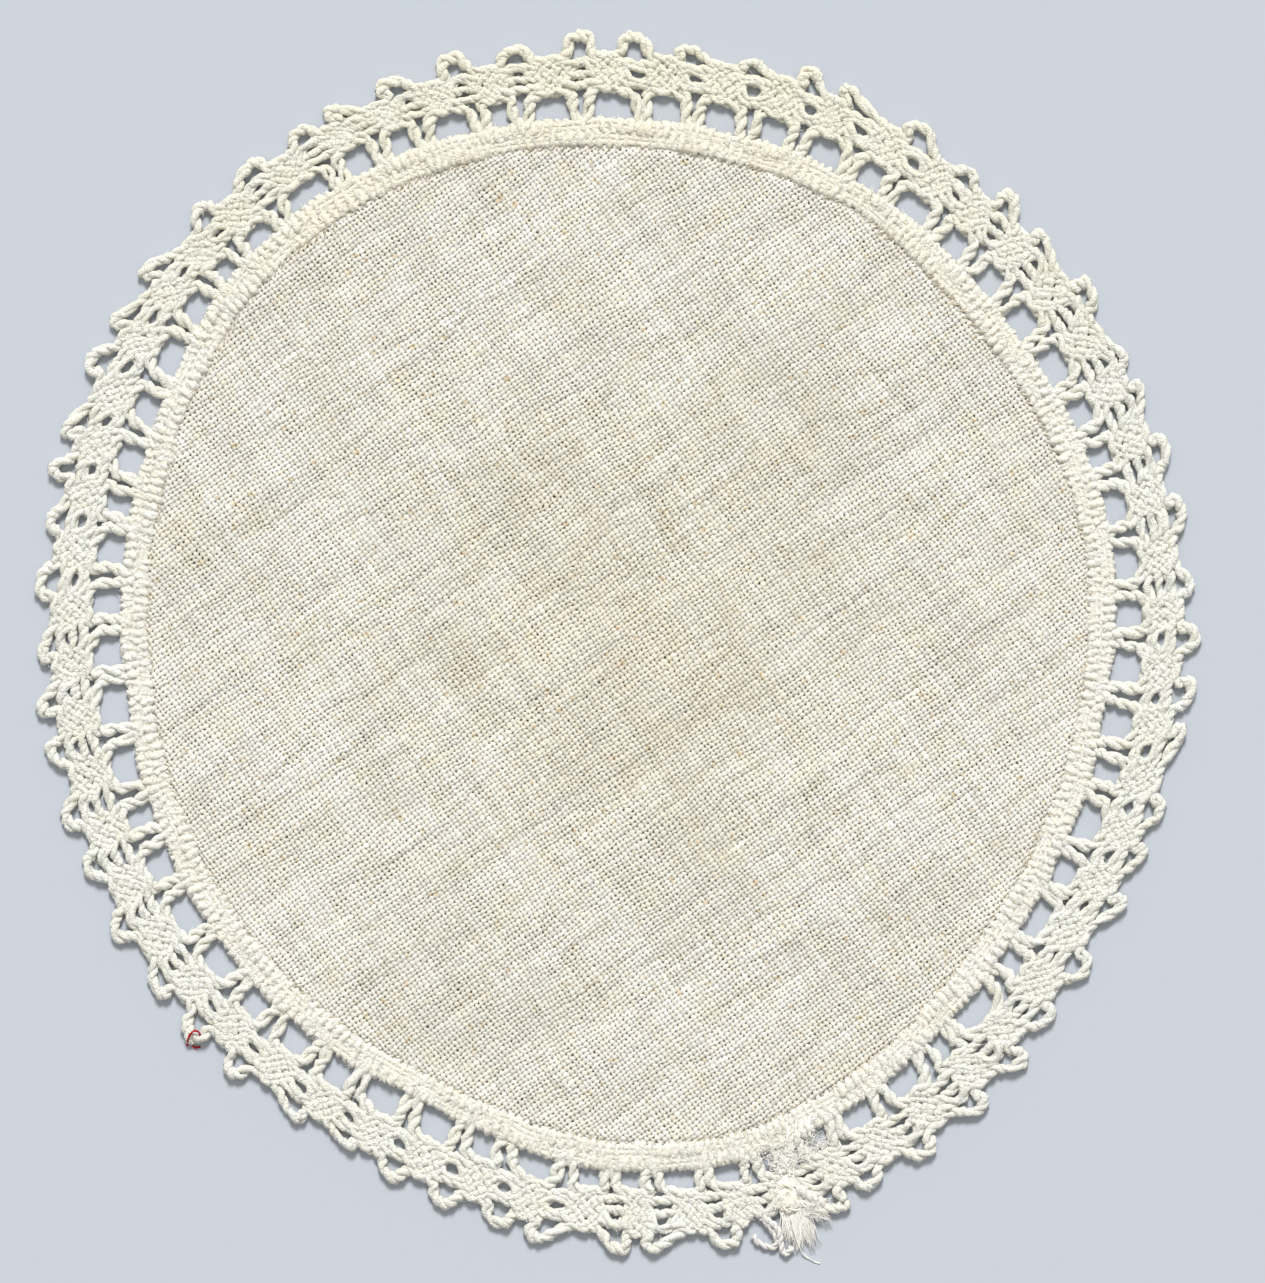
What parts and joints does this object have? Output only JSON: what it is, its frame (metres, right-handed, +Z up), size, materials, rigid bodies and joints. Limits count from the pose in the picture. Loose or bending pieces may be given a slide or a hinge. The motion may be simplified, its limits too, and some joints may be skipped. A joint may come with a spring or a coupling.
{
  "type": "lace doily",
  "caption": "Round linen doily with a scalloped bobbin lace edging, lying flat; protects and dresses a table top under a cup, vase or plate.",
  "frame": {"origin": "middle of the underside, on the surface that the doily lies on", "axes": "+Z up out of the cloth's face; +Y towards the top and +X towards the right as seen from above, with the lace's join at the lower right"},
  "size_m": [0.1484, 0.156, 0.0014],
  "materials": {
    "linen": "undyed plain-weave linen, matt, slightly slubbed",
    "lace": "cream twisted cotton thread, matt",
    "tuft": "frayed cream cotton fibres, matt"
  },
  "bodies": {
    "root": {"linen_round": "linen", "lace_edging": "lace", "join_tuft": "tuft"}
  },
  "joints": []
}
